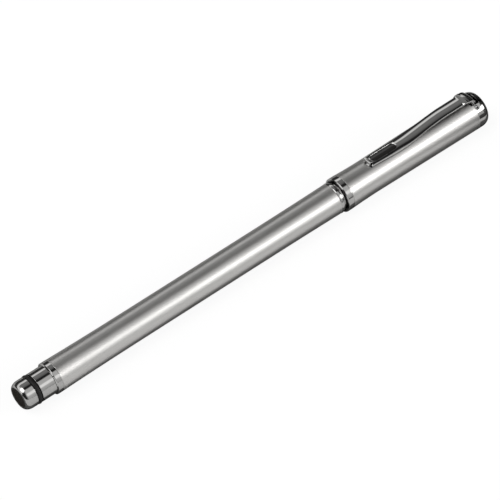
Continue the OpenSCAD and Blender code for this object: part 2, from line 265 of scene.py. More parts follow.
def add_node(tree, kind, inputs=None, **settings):
    """A new shader node with its settings, and its inputs set to values or linked to sockets."""
    node = tree.nodes.new("ShaderNode" + kind)
    for name, value in settings.items():
        setattr(node, name, value)
    for name, value in (inputs or {}).items():
        if isinstance(value, bpy.types.NodeSocket):
            tree.links.new(value, node.inputs[name])
        else:
            node.inputs[name].default_value = value
    return node


def own_space(tree, **inputs):
    """The object's own coordinates, scaled or moved."""
    where = add_node(tree, "TexCoord")
    inputs["Vector"] = where.outputs["Object"]
    return add_node(tree, "Mapping", inputs).outputs["Vector"]


def grain(tree, cells, detail=3):
    """Noise in the object's own space, with so many cells to a metre along each axis."""
    inputs = {"Vector": own_space(tree, Scale=cells), "Scale": 1, "Detail": detail}
    return add_node(tree, "TexNoise", inputs).outputs["Fac"]


def between(tree, factor, low, high, socket, spread=(0.3, 0.7)):
    """Drives a plain socket from low to high as the factor crosses the spread."""
    inputs = {"Value": factor, "To Min": low, "To Max": high}
    inputs["From Min"], inputs["From Max"] = spread
    tree.links.new(add_node(tree, "MapRange", inputs).outputs["Result"], socket)


def tint(tree, factor, base, depth, socket, spread=(0.3, 0.7)):
    """Drives a colour socket from a little under to a little over the base colour."""
    node = add_node(tree, "ValToRGB", {"Fac": factor})
    for element, position, gain in zip(node.color_ramp.elements, spread, (1 - depth, 1 + depth)):
        element.position = position
        element.color = (*[min(1, c * gain) for c in base], 1)
    tree.links.new(node.outputs["Color"], socket)


def relief(tree, height, depth, shader):
    """Bumps the surface by a height from 0 to 1, so many millimetres deep."""
    inputs = {"Strength": 1, "Distance": depth * MM, "Height": height}
    node = add_node(tree, "Bump", inputs)
    tree.links.new(node.outputs["Normal"], shader.inputs["Normal"])


def make_finishes():
    """All the pen's materials by the record's slot names, with the tail face's darker chrome beside them;
    its dark colour is a painted reflection.
    """
    look = bpy.context.scene.pen_finishes

    gloss = look.aluminium_gloss
    tree, shader = new_finish("satin_aluminium", gloss, 1)
    blasted = grain(tree, (5200, 5200, 5200), 4)
    cloudy = grain(tree, (160, 420, 420))
    tint(tree, blasted, look.aluminium, 0.05, shader.inputs["Base Color"])
    between(tree, cloudy, gloss - 0.02, gloss + 0.02, shader.inputs["Roughness"])
    relief(tree, blasted, 0.0022, shader)

    gloss = look.chrome_gloss
    tree, shader = new_finish("polished_chrome", gloss, 1)
    smudge = grain(tree, (900, 900, 900), 5)
    scuff = grain(tree, (2600, 9000, 9000), 2)
    tint(tree, smudge, look.chrome, 0.03, shader.inputs["Base Color"])
    between(tree, smudge, gloss - 0.02, gloss + 0.03, shader.inputs["Roughness"])
    relief(tree, scuff, 0.0002, shader)

    # The tail face is chrome painted darker, a painted dark reflection. Its rings are its turning marks.
    tree, shader = new_finish("painted_dark_face", 0.34, 1)
    centred = own_space(tree, Location=(0, 0, -AXIS_Z))
    inputs = {"Vector": centred, "Scale": 1700, "Distortion": 0.6}
    wave = add_node(tree, "TexWave", inputs, wave_type="RINGS", rings_direction="X")
    rings = wave.outputs["Fac"]
    tint(tree, rings, look.face, 0.08, shader.inputs["Base Color"], (0, 1))
    relief(tree, rings, 0.0015, shader)

    # slot, metal, colour, its variation, the roughness from and to, noise cells and detail, relief
    for slot, metallic, base, depth, gloss, cells, detail, bump in (
        ("black_rubber", 0, look.rubber, 0.25, (0.5, 0.62), (3200, 3200, 3200), 4, 0.006),
        ("black_inlay", 0, look.inlay, 0.2, (0.12, 0.22), (1800, 1800, 1800), 4, 0.0008),
        ("turned_brass", 1, look.brass, 0.07, (0.2, 0.34), (14000, 300, 300), 2, 0.002),
        ("spring_steel", 1, look.steel, 0.08, (0.18, 0.3), (4000, 4000, 4000), 3, 0.001),
        ("liner_plastic", 0, look.liner, 0.12, (0.4, 0.52), (2400, 2400, 2400), 3, 0.003),
        ("clear_disc", 0, look.disc, 0.015, (0.015, 0.06), (1500, 1500, 1500), 3, 0),
    ):
        tree, shader = new_finish(slot, sum(gloss) / 2, metallic)
        skin = grain(tree, cells, detail)
        tint(tree, skin, base, depth, shader.inputs["Base Color"])
        between(tree, skin, *gloss, shader.inputs["Roughness"])
        if bump:
            relief(tree, skin, bump, shader)
        for socket, value in MORE_LOOKS.get(slot, {}).items():
            shader.inputs[socket].default_value = value


def finish_of(slot):
    """The material of a slot, made on first use."""
    if OWN + slot not in bpy.data.materials:
        make_finishes()
    return bpy.data.materials[OWN + slot]


# modelling helpers


def start_point(name, at):
    """Starts a piece as one vertex, left selected in edit mode."""
    bpy.ops.object.select_all(action="DESELECT")
    bpy.ops.mesh.primitive_plane_add(size=MM, location=at)
    piece = bpy.context.object
    piece.name = name
    piece.data.name = name
    bpy.ops.object.mode_set(mode="EDIT")
    bpy.ops.mesh.select_mode(type="VERT")
    bpy.ops.mesh.select_all(action="SELECT")
    bpy.ops.mesh.merge(type="CENTER")
    return piece


def draw(points):
    """Extrudes the selected vertex through row-frame points."""
    for before, after in zip(points, points[1:]):
        bpy.ops.mesh.extrude_vertices_move(TRANSFORM_OT_translate={"value": after - before})


def rounded(corners, closed):
    """Rounds an outline's (along, up, radius) corners, with a held point on either side of an arc."""
    outline = []
    count = len(corners)
    for i, corner in enumerate(corners):
        here = Vector(corner[:2])
        radius = corner[2] if len(corner) > 2 else 0
        if radius == 0 or (not closed and i in (0, count - 1)):
            outline.append(here)
            continue
        before = Vector(corners[i - 1][:2]) - here
        after = Vector(corners[(i + 1) % count][:2]) - here
        turn = math.pi - before.angle(after)
        longest = MOST_OF_A_SIDE * min(before.length, after.length)
        cut = min(radius * math.tan(turn / 2), longest)
        if cut < LEAST_CUT:
            outline.append(here)
            continue
        radius = cut / math.tan(turn / 2)
        before.normalize()
        after.normalize()
        centre = here + (before + after).normalized() * radius / math.cos(turn / 2)
        start = here + before * cut
        arm = start - centre
        side = 1 if arm.cross(here + after * cut - centre) > 0 else -1
        steps = max(2, math.ceil(turn / ARC_STEP))
        outline.append(start + before * HOLD)
        for k in range(steps + 1):
            bend = Matrix.Rotation(side * turn * k / steps, 2)
            outline.append(centre + bend @ arm)
        outline.append(here + after * cut + after * HOLD)
    return outline


def turned(name, corners, closed=False):
    """Draws a half outline of (station, height, radius) corners and spins it round the pen's axis."""
    outline = [place(x, h) for x, h in rounded(corners, closed)]
    piece = start_point(name, outline[0])
    draw(outline + outline[:1] if closed else outline)
    bpy.ops.mesh.select_all(action="SELECT")
    bpy.ops.mesh.spin(steps=TURN_STEPS, angle=math.tau, center=place(0, 0), axis=(1, 0, 0))
    close_up()
    return piece


def close_up():
    """Merges what lies together, turns faces outwards and leaves edit mode."""
    bpy.ops.mesh.select_all(action="SELECT")
    bpy.ops.mesh.remove_doubles(threshold=SAME_PLACE)
    bpy.ops.mesh.normals_make_consistent(inside=False)
    bpy.ops.object.mode_set(mode="OBJECT")


def only(piece):
    """Leaves just this piece selected and active."""
    bpy.ops.object.select_all(action="DESELECT")
    piece.select_set(True)
    bpy.context.view_layer.objects.active = piece


def settle(piece, body, slot, *nodes):
    """Puts a piece's place in its mesh, smooths and paints it, and ties it to the frame."""
    only(piece)
    bpy.ops.object.transform_apply(location=True, rotation=True, scale=True)
    bpy.ops.object.shade_smooth_by_angle(angle=SMOOTH_ANGLE)
    piece.data.materials.append(finish_of(slot))
    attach(piece, body)
    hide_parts(*nodes)
    return piece


def pick_faces(piece, test):
    """Selects the faces whose (station, sideways, height) middle passes a test."""
    bpy.ops.mesh.select_mode(type="FACE")
    bpy.ops.mesh.select_all(action="DESELECT")
    mesh = bmesh.from_edit_mesh(piece.data)
    for face in mesh.faces:
        at = piece.matrix_world @ face.calc_center_median()
        if test((at.x - TAIL_X) / MM, at.y / MM, (at.z - AXIS_Z) / MM):
            face.select_set(True)
    mesh.select_flush_mode()
    bmesh.update_edit_mesh(piece.data)


def block(name, low, high):
    """A box between two (station, sideways, height) corners, left in edit mode with all selected."""
    bpy.ops.object.select_all(action="DESELECT")
    middle = [(a + b) / 2 for a, b in zip(low, high)]
    bpy.ops.mesh.primitive_cube_add(size=MM, location=place(middle[0], middle[2], middle[1]))
    piece = bpy.context.object
    piece.name = name
    bpy.ops.object.mode_set(mode="EDIT")
    bpy.ops.mesh.select_all(action="SELECT")
    bpy.ops.transform.resize(value=[b - a for a, b in zip(low, high)])
    return piece


def bar(name, x, h, radius, half_width, edge=0.0, sides=48):
    """A round bar across the pen with softened ends, left in object mode."""
    bpy.ops.object.select_all(action="DESELECT")
    bpy.ops.mesh.primitive_cylinder_add(
        vertices=sides,
        radius=radius * MM,
        depth=2 * half_width * MM,
        location=place(x, h),
        rotation=(math.pi / 2, 0, 0),
    )
    piece = bpy.context.object
    piece.name = name
    bpy.ops.object.mode_set(mode="EDIT")
    pick_faces(piece, lambda x, y, h: abs(y) > half_width - 0.01)
    if edge:
        bpy.ops.mesh.bevel(offset=edge * MM, segments=4, affect="EDGES", clamp_overlap=True)
    bpy.ops.object.mode_set(mode="OBJECT")
    return piece


def join(piece, tool, operation):
    """Adds a tool to a piece, or cuts it away, and removes the tool."""
    only(piece)
    modifier = piece.modifiers.new("join", "BOOLEAN")
    modifier.operation = operation
    modifier.object = tool
    modifier.solver = "EXACT"
    bpy.ops.object.modifier_apply(modifier=modifier.name)
    bpy.data.objects.remove(tool)


def soften(piece, width, segments=2):
    """Rounds a piece's sharp edges a little, with flats that stay flat."""
    only(piece)
    modifier = piece.modifiers.new("soften", "BEVEL")
    modifier.width = width * MM
    modifier.segments = segments
    modifier.limit_method = "ANGLE"
    modifier.angle_limit = SOFT_ANGLE
    modifier.use_clamp_overlap = True
    bpy.ops.object.modifier_apply(modifier=modifier.name)


def sheet(name, stations, back, half, arch_r, bow, arch):
    """An arched sheet along stations, bowed at its start, left with its last row selected for editing."""
    x = stations[0]
    ribs = 10
    bowed_rows = 12
    straighter = 0.8
    row = []
    for k in range(-ribs, ribs + 1):
        y = half(x) * k / ribs
        drop = (arch_r - math.sqrt(arch_r**2 - y**2)) * arch(x)
        row.append(place(x + bow * (k / ribs) ** 2, back(x) - drop, y))
    piece = start_point(name, row[0])
    draw(row)
    bpy.ops.mesh.select_all(action="SELECT")
    for i, (before, after) in enumerate(zip(stations, stations[1:])):
        centre = place(after, back(after))
        move = centre - place(before, back(before))
        bpy.ops.mesh.extrude_region_move(TRANSFORM_OT_translate={"value": move})
        straight = straighter if i < bowed_rows else 0
        narrow = half(after) / half(before)
        flat = narrow**2 * arch(after) / arch(before)
        bpy.ops.transform.resize(value=(straight, narrow, flat), center_override=centre)
    return piece


def thicken(back, down):
    """Closes the sheet in edit mode by pushing a copy of it back and down, with its sides upright."""
    bpy.ops.mesh.select_all(action="SELECT")
    move = (-back * MM, 0, -down * MM)
    bpy.ops.mesh.extrude_region_move(TRANSFORM_OT_translate={"value": move})
    close_up()


def seal_ring(name, x, body, node):
    """A rubber ring with a faint parting line round its crest."""
    radius = sizes().seal_cord_d / 2
    sides = 32
    line_h = 0.012
    outline = []
    for k in range(sides):
        a = math.tau * k / sides
        from_top = abs(k - sides // 4)
        crest = line_h if from_top == 0 else 0
        flat = line_h if from_top < 3 else 0
        h = SEAL_R - radius + (radius + crest) * math.sin(a) - flat
        outline.append((x + radius * math.cos(a), h))
    return settle(turned(name, outline, closed=True), body, "black_rubber", node)


def groove(x, width, depth, edge):
    """The corners of a groove that runs round the plug or the spigot."""
    return [
        (x - width / 2, PLUG_R, edge),
        (x - width / 2, PLUG_R - depth),
        (x + width / 2, PLUG_R - depth),
        (x + width / 2, PLUG_R, edge),
    ]


def seal_groove(x):
    """The groove of a seal ring, a little wider and deeper than its cord."""
    cord = sizes().seal_cord_d
    return groove(x, cord + 0.1, cord + 0.02 - SEAL_PROUD, 0.05)


def ball_arc(x, radius, start, steps):
    """The outline of a ball round a station, from an angle down to its end on the axis."""
    outline = [
        (x + radius * math.cos(a), radius * math.sin(a))
        for a in [start * (1 - k / steps) for k in range(steps)]
    ]
    return outline + [(x + radius, 0)]


def cap_reach(x):
    """How far the cap's tube reaches from the axis: bell-mouthed, then widening to the crown."""
    neck_r = sizes().cap_neck_d / 2
    x_neck = X_CAP + MOUTH_FLARE_L
    wide = mix(neck_r, CROWN_R, max(0, x - x_neck) / (X_CROWN - x_neck))
    return wide + (MOUTH_R - neck_r) * flare(x - X_CAP, MOUTH_FLARE_L, 2)


def cut_notch(piece, start, end):
    """Cuts the notch that the clip's root turns in, from above and between two stations."""
    notch_r = sizes().notch_w / 2
    notch = block("notch", (start, -notch_r, NOTCH_FLOOR), (end, notch_r, NOTCH_TOP))
    bpy.ops.object.mode_set(mode="OBJECT")
    join(piece, notch, "DIFFERENCE")


# operators


class PEN_OT_tail(bpy.types.Operator):
    """Model the tail plug, its seal ring and the bevelled ring behind the barrel"""

    bl_idname = "pen.tail"
    bl_label = "Tail plug and ring"

    def execute(self, context):
        s = sizes()
        face_r = s.tail_face_d / 2
        rim_w = 0.16
        sunk = 0.05
        corner = [
            (s.tail_corner_l * (1 - math.cos(a)), mix(face_r, PLUG_R, math.sin(a)))
            for a in [math.radians(7.5 * k) for k in range(1, 13)]
        ]
        plug = turned(
            "plug",
            [
                (sunk, 0),
                (sunk, face_r - rim_w - 0.06, 0.03),
                (0, face_r - rim_w, 0.03),
                (0, face_r, 0.03),
            ]
            + corner
            + seal_groove(X_TAIL_SEAL)
            + [
                (X_PLUG_RING, PLUG_R, 0.04),
                (X_PLUG_RING, THREAD_R),
                (X_BARREL + THREAD_L, THREAD_R),
                (X_BARREL + THREAD_L, 0),
            ],
        )
        settle(plug, "barrel", "polished_chrome", "tail_plug")
        # The flat disc of the tail face gets the chrome painted darker, a painted dark reflection.
        plug.data.materials.append(finish_of("painted_dark_face"))
        only(plug)
        bpy.ops.object.mode_set(mode="EDIT")
        disc_r = face_r - rim_w - 0.04
        pick_faces(plug, lambda x, y, h: x < sunk + 0.01 and math.hypot(y, h) < disc_r)
        plug.active_material_index = 1
        bpy.ops.object.material_slot_assign()
        bpy.ops.object.mode_set(mode="OBJECT")

        ring = turned(
            "plug_ring",
            [
                (X_PLUG_RING, THREAD_R),
                (X_PLUG_RING, PLUG_R + 0.1, 0.05),
                (X_PLUG_RING + s.ring_bevel_l, BARREL_R, 0.12),
                (X_BARREL, BARREL_R, 0.07),
                (X_BARREL, THREAD_R),
            ],
            closed=True,
        )
        settle(ring, "barrel", "polished_chrome", "tail_ring")
        seal_ring("plug_seal", X_TAIL_SEAL, "barrel", "tail_seal")
        return {"FINISHED"}


class PEN_OT_barrel(bpy.types.Operator):
    """Model the waisted satin barrel and the bead ring at its front"""

    bl_idname = "pen.barrel"
    bl_label = "Barrel and bead ring"

    def execute(self, context):
        s = sizes()
        waist_r = s.barrel_waist_d / 2
        front_r = s.barrel_front_d / 2
        bore_r = waist_r - s.barrel_wall
        tail_flare_l = 25
        front_flare_l = 35
        edge_l = 0.5

        def outside(x):
            tail = (BARREL_R - waist_r) * flare(x - X_BARREL, tail_flare_l, 2.5)
            front = (front_r - waist_r) * flare(X_BEAD - x, front_flare_l, 3)
            return waist_r + tail + front

        middle = [mix(X_BARREL + edge_l, X_BEAD - edge_l, k / 72) for k in range(73)]
        barrel = turned(
            "barrel",
            [(X_BARREL, bore_r), (X_BARREL, outside(X_BARREL), s.edge_r)]
            + [(x, outside(x)) for x in middle]
            + [(X_BEAD, outside(X_BEAD), s.edge_r), (X_BEAD, bore_r)],
            closed=True,
        )
        settle(barrel, "barrel", "satin_aluminium", "barrel_tube")

        half_l = (X_NECK - X_BEAD) / 2
        rise = 0.22
        foot_r = reach("front_ring") - rise
        crest = [
            (X_BEAD + half_l * (1 - math.cos(a)), foot_r + rise * math.sin(a))
            for a in [math.pi * k / 14 for k in range(15)]
        ]
        bead = turned(
            "bead_ring",
            [(X_BEAD, THREAD_R)] + crest + [(X_NECK, THREAD_R)],
            closed=True,
        )
        settle(bead, "barrel", "polished_chrome", "front_ring")
        return {"FINISHED"}


class PEN_OT_section(bpy.types.Operator):
    """Model the spigot under the cap and its seal ring"""

    bl_idname = "pen.section"
    bl_label = "Section and seal"

    def execute(self, context):
        chamfer = 0.3
        grip_w = 0.35
        grip_depth = 0.14
        grips = []
        for setback in (4.4, 5.6):
            grips += groove(X_SECTION_SEAL + setback, grip_w, grip_depth, 0.04)
        section = turned(
            "section",
            [
                (X_BEAD - THREAD_L, 0),
                (X_BEAD - THREAD_L, THREAD_R, 0.1),
                (X_NECK, THREAD_R),
                (X_NECK, PLUG_R, 0.05),
            ]
            + seal_groove(X_SECTION_SEAL)
            + grips
            + [
                (X_SEAT - chamfer, PLUG_R, 0.12),
                (X_SEAT, PLUG_R - chamfer, 0.05),
                (X_SEAT, SHANK_R),
                (X_CHAMBER, SHANK_R),
                (X_CHAMBER, 0),
            ],
        )
        settle(section, "barrel", "polished_chrome", "grip_section")
        seal_ring("section_ring", X_SECTION_SEAL, "barrel", "section_seal")
        return {"FINISHED"}


class PEN_OT_tip(bpy.types.Operator):
    """Model the nose cone, the ball stem, its socket and the clear disc"""

    bl_idname = "pen.tip"
    bl_label = "Tip"

    def execute(self, context):
        base_r = 3.05
        nose_r = 1.35
        stem_bore_r = 0.85
        x_step = X_NOSE - 3.2
        curve = [
            (mix(X_SEAT, X_NOSE, t), mix(base_r, nose_r, t**1.6))
            for t in [k / 24 for k in range(1, 24)]
        ]
        cone = turned(
            "nose_cone",
            [
                (X_CHAMBER, CHAMBER_R),
                (X_CHAMBER, SHANK_R, 0.1),
                (X_SEAT, SHANK_R),
                (X_SEAT, base_r, 0.06),
            ]
            + curve
            + [
                (X_NOSE, nose_r, 0.08),
                (X_NOSE, stem_bore_r, 0.05),
                (x_step, stem_bore_r),
                (x_step, CHAMBER_R),
            ],
            closed=True,
        )
        settle(cone, "barrel", "polished_chrome", "tip_holder")

        head_r = 1.45
        head_l = 1.2
        stem_r = 0.8
        neck_r = 0.5
        neck_l = 0.6
        ball_r = 1.0
        x_head = station("ball_stem", 0)
        x_ball = station("ball_stem", 1) - ball_r
        x_shoulder = x_ball - ball_r - neck_l
        stem = turned(
            "stem",
            [
                (x_head, 0),
                (x_head, head_r, 0.06),
                (x_head + head_l, head_r, 0.06),
                (x_head + head_l, stem_r),
                (x_shoulder - 0.15, stem_r, 0.05),
                (x_shoulder, neck_r),
            ]
            + ball_arc(x_ball, ball_r, math.pi - math.asin(neck_r / ball_r), 20),
        )
        settle(stem, "stem", "spring_steel", "ball_stem")

        mouth_l = 0.6
        bore_r = ball_r + 0.05
        face = x_ball + bore_r + 0.3
        socket_r = 1.6
        boss_r = 1.0
        x_back = max(station("disc_socket", 0), x_ball - mouth_l)
        x_front = station("disc_socket", 1)
        socket = turned(
            "socket",
            ball_arc(x_ball, bore_r, math.acos(-mouth_l / bore_r), 16)[::-1]
            + [
                (x_back, socket_r - 0.25, 0.06),
                (x_back + 0.4, socket_r, 0.1),
                (face - 0.3, socket_r, 0.08),
                (face, socket_r - 0.2, 0.03),
                (face, boss_r),
                (x_front, boss_r, 0.04),
                (x_front, 0),
            ],
        )
        settle(socket, "tip", "spring_steel", "disc_socket")

        disc_r = reach("tip_disc")
        x_disc, x_face = station("tip_disc", 0), station("tip_disc", 1)
        disc = turned(
            "disc",
            [
                (x_front + 0.01, 0),
                (x_front + 0.01, boss_r + 0.01),
                (x_disc, boss_r + 0.01),
                (x_disc, disc_r - 0.15, 0.06),
                (x_disc + 0.15, disc_r, 0.08),
                (x_face - 0.2, disc_r, 0.1),
                (x_face, disc_r - 0.2, 0.1),
                (x_face, 0),
            ],
        )
        settle(disc, "tip", "clear_disc", "tip_disc")
        return {"FINISHED"}


class PEN_OT_cap(bpy.types.Operator):
    """Model the ring at the cap's mouth and the cap's satin tube"""

    bl_idname = "pen.cap"
    bl_label = "Cap"

    def execute(self, context):
        s = sizes()
        bore_r = SEAL_R + s.cap_gap
        bevel_l = 0.14
        bevel_h = 0.18
        ring = turned(
            "mouth_ring",
            [
                (X_LIP, bore_r, 0.04),
                (X_LIP, MOUTH_R - bevel_h, 0.05),
                (X_LIP + bevel_l, MOUTH_R - 0.02, 0.09),
                (X_LIP + 2 * bevel_l, MOUTH_R),
                (X_CAP, MOUTH_R, 0.09),
                (X_CAP, bore_r),
            ],
            closed=True,
        )
        settle(ring, "cap", "polished_chrome", "cap_lip_ring")

        edge_l = 0.3
        x_neck = X_CAP + MOUTH_FLARE_L
        throat = [mix(X_CAP + edge_l, x_neck, k / 24) for k in range(25)]
        body = [mix(x_neck, X_CROWN - edge_l, k / 30) for k in range(1, 31)]
        cap = turned(
            "cap_shell",
            [(X_CAP, bore_r), (X_CAP, cap_reach(X_CAP), s.edge_r)]
            + [(x, cap_reach(x)) for x in throat + body]
            + [(X_CROWN, cap_reach(X_CROWN), s.edge_r), (X_CROWN, bore_r)],
            closed=True,
        )
        cut_notch(cap, X_CROWN_ROOT, X_CROWN + 1)
        settle(cap, "cap", "satin_aluminium", "cap_tube")
        return {"FINISHED"}


class PEN_OT_crown(bpy.types.Operator):
    """Model the notched crown ring, its button and the clip's hinge pin"""

    bl_idname = "pen.crown"
    bl_label = "Crown and pin"

    def execute(self, context):
        s = sizes()
        bore_r = SEAL_R + s.cap_gap
        face_r = s.crown_face_d / 2
        button_bore_r = 2.4
        band_l = 1.65
        roundness = 0.85
        bevel_l = X_END - X_CROWN - band_l
        bevel = [
            (
                mix(X_END - bevel_l, X_END, math.sin(a)),
                mix(face_r, CROWN_R, mix(1 - math.sin(a), math.cos(a), roundness)),
            )
            for a in [math.radians(7.5 * k) for k in range(12)]
        ]
        rim_w = 0.7
        button_r = face_r - rim_w
        x_button = X_END - 1.1
        crown = turned(
            "crown",
            [
                (X_CROWN_ROOT, button_bore_r),
                (X_CROWN_ROOT, bore_r),
                (X_CROWN, bore_r),
                (X_CROWN, CROWN_R, 0.07),
                (X_END - bevel_l - 0.15, CROWN_R),
            ]
            + bevel
            + [
                (X_END, face_r, 0.05),
                (X_END, button_r, 0.06),
                (x_button, button_r),
                (x_button, button_bore_r),
            ],
            closed=True,
        )
        knuckle_room = 0.35
        cut_notch(crown, X_CROWN_ROOT - 1, X_PIN + KNUCKLE_R + knuckle_room)
        join(crown, bar("pin_hole", X_PIN, PIN_H, PIN_R, 6), "DIFFERENCE")
        soften(crown, 0.045)
        settle(crown, "cap", "polished_chrome", "crown_ring")

        shank_r = 0.7
        head_r = button_r - 0.015
        dome_h = 0.25
        x_rim = X_END - 0.3
        x_shank = station("crown_finial", 0)
        dome = [
            (x_rim + dome_h * (1 - t * t), button_r * t)
            for t in [k / 18 for k in range(17, -1, -1)]
        ]
        button = turned(
            "crown_button",
            [
                (x_shank, 0),
                (x_shank, shank_r, 0.08),
                (x_button, shank_r),
                (x_button, head_r),
                (x_rim, head_r, 0.06),
            ]
            + dome,
        )
        settle(button, "cap", "polished_chrome", "crown_finial")

        half_l = (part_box("clip_pin")[1].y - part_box("clip_pin")[0].y) / 2 / MM
        pin = bar("hinge_pin", X_PIN, PIN_H, PIN_R - 0.005, half_l, 0.1, 40)
        settle(pin, "cap", "spring_steel", "clip_pin")
        return {"FINISHED"}


class PEN_OT_clip(bpy.types.Operator):
    """Model the sprung sheet clip with its rolled tip, window, bend and curl round the pin"""

    bl_idname = "pen.clip"
    bl_label = "Clip"

    def execute(self, context):
        s = sizes()
        cap_h = cap_reach(X_CLIP)
        paddle_lift = 0.64
        low_back = cap_h + paddle_lift
        bend_r = 2.5
        bend_h = ROOT_H - bend_r
        x_bend = X_PIN + KNUCKLE_R - bend_r
        rise_l = 13.5
        root_l = 6.2
        x_rise = x_bend - root_l - rise_l
        x_flat = x_bend - 1.3
        leaf_l = 10
        taper_l = 9
        tip_dip = 0.1
        leaf_arch, plate_arch, bend_arch = 1.15, 0.01, 0.5

        def back(x):
            dip = tip_dip * (1 - step(x, X_CLIP + 0.8, 1.0))
            return mix(low_back, ROOT_H, step(x, x_rise, rise_l)) - dip

        def half(x):
            leaf = mix(s.tip_w, s.paddle_w, min(1, (x - X_CLIP) / leaf_l) ** 0.7)
            waist = mix(leaf, s.waist_w, step(x, X_CLIP + leaf_l + 0.5, taper_l))
            return mix(waist, s.root_w, step(x, x_flat - 0.5, 0.7)) / 2

        def arch(x):
            leaf = mix(leaf_arch, 1, step(x, X_CLIP + leaf_l - 1, 6))
            plate = mix(leaf, plate_arch, step(x, x_flat - 0.5, 0.6))
            return mix(plate, bend_arch, step(x, x_bend - 0.6, 0.6))

        x_start = X_CLIP + 0.35
        x_plate = x_flat - 0.6
        stations = [mix(x_start, x_plate, k / 70) for k in range(71)]
        stations += [mix(x_plate, x_bend, k / 24) for k in range(1, 25)]
        clip = sheet("pocket_clip", stations, back, half, s.clip_arch_r, 0.4, arch)
        bpy.ops.mesh.spin(
            steps=14, angle=-math.pi / 2, center=place(x_bend, bend_h), axis=(0, 1, 0)
        )
        down = place(0, PIN_H - 0.3) - place(0, bend_h)
        bpy.ops.mesh.extrude_region_move(TRANSFORM_OT_translate={"value": down})
        thicken(s.clip_t, s.clip_t)

        roll_r = 0.52
        roll_bore_r = 0.37
        roll_half = 1.2
        x_roll = X_CLIP + roll_r
        roll_gap = 0.03
        roll_h = cap_h + roll_gap + roll_r
        join(clip, bar("roll", x_roll, roll_h, roll_r, roll_half, 0.05), "UNION")
        join(clip, bar("curl", x_roll, roll_h, roll_bore_r, roll_half + 0.4), "DIFFERENCE")
        knuckle = bar("knuckle", X_PIN, PIN_H, KNUCKLE_R, s.root_w / 2, 0.06, 64)
        join(clip, knuckle, "UNION")
        heel_half = 0.9
        heel_foot = 1.15
        heel_top = PIN_H - 0.62
        heel_back = (X_PIN - 0.1, -heel_half, heel_foot)
        heel_front = (X_PIN + 0.5, heel_half, heel_top)
        heel = block("heel", heel_back, heel_front)
        bpy.ops.mesh.bevel(offset=0.08 * MM, segments=3, affect="EDGES")
        bpy.ops.object.mode_set(mode="OBJECT")
        join(clip, heel, "UNION")
        join(clip, bar("pin_bore", X_PIN, PIN_H, PIN_R + 0.05, 3), "DIFFERENCE")
        window_setback = 1.55
        x_window = X_CLIP + window_setback
        bevel_h = 0.8
        bevel = self.opening(x_window, 0, low_back - s.window_edge, bevel_h, bevel_h)
        join(clip, self.opening(x_window, 0), "DIFFERENCE")
        join(clip, bevel, "DIFFERENCE")
        soften(clip, 0.09, 3)
        settle(clip, "clip", "polished_chrome", "clip")

        x_ends = (x_window - 0.4, x_window + s.window_l + 0.4)
        inlay = sheet(
            "paddle_inlay",
            [mix(*x_ends, k / 40) for k in range(41)],
            lambda x: low_back - s.inlay_sunk,
            lambda x: s.window_w / 2 + 0.3,
            s.clip_arch_r,
            0,
            lambda x: leaf_arch,
        )
        thicken(0, s.clip_t - s.inlay_sunk)
        join(inlay, self.opening(x_window, 0.01), "INTERSECT")
        soften(inlay, 0.03)
        settle(inlay, "clip", "black_inlay", "clip_inlay")
        return {"FINISHED"}

    def opening(self, x, inset, foot=3, rise=5, spread=0):
        """The window's round-ended prism, inset all round and spread wider at its top."""
        s = sizes()
        side = s.window_w / 2 - inset
        start, end = x + inset, x + s.window_l - inset
        corners = [(start, -side), (end, -side), (end, side), (start, side)]
        rim = rounded([(*corner, side) for corner in corners], True)
        outline = [place(along, foot, y) for along, y in rim]
        prism = start_point("window", outline[0])
        draw(outline + outline[:1])
        bpy.ops.mesh.select_all(action="SELECT")
        bpy.ops.mesh.remove_doubles(threshold=SAME_PLACE)
        bpy.ops.mesh.edge_face_add()
        bpy.ops.mesh.extrude_region_move(TRANSFORM_OT_translate={"value": (0, 0, rise * MM)})
        bpy.ops.transform.resize(
            value=(1 + 2 * spread / s.window_l, 1 + spread / side, 1),
            center_override=place(x + s.window_l / 2, foot + rise),
        )
        close_up()
        return prism


class PEN_OT_inner(bpy.types.Operator):
    """Give the hidden CAD pieces their finishes"""

    bl_idname = "pen.inner"
    bl_label = "Inner pieces"

    def execute(self, context):
        inner = {
            "turned_brass": ["tail_bush", "front_bush", "spring_screw", "cap_plug"],
            "spring_steel": ["tip_spring", "spring_follower", "clip_spring"],
            "liner_plastic": ["cap_liner"],
        }
        for slot, nodes in inner.items():
            for node in nodes:
                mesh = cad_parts[node].data
                mesh.materials.clear()
                mesh.materials.append(finish_of(slot))
        return {"FINISHED"}


CAMERA_TILT = math.radians(23.4)
CAMERA_ROLL = math.radians(32.4)
CAMERA_TURN = math.radians(38)
CAMERA_AIM = place(68.19, 0.383)
LAMP_AIM = place(68.5, 0)
KEY_TURN = math.radians(-20.5)
KEY_TILT = math.radians(43)
FILL_FROM = Vector((-0.5, 0, 0.87))
FILL_W = 0.69

# the floor and the dark cards on it, in metres
FLOOR_R = 4
FLOOR_Z = -0.00002
FAR_EDGE = Vector((0.0873, 0, 0.00003))
FAR_SIDE = Vector((0.774, -0.633, 0))
FAR_W = 0.5
# The dark mat under the pen is seen only by the metal. It is a painted contact shadow in the metal's
# reflections.
SHADOW_MAT_MIDDLE = Vector((0, 0.0003, 0.00001))
SHADOW_MAT_SIDE = Vector((1, -0.025, 0))
SHADOW_MAT_L = 0.4
SHADOW_MAT_W = 0.016

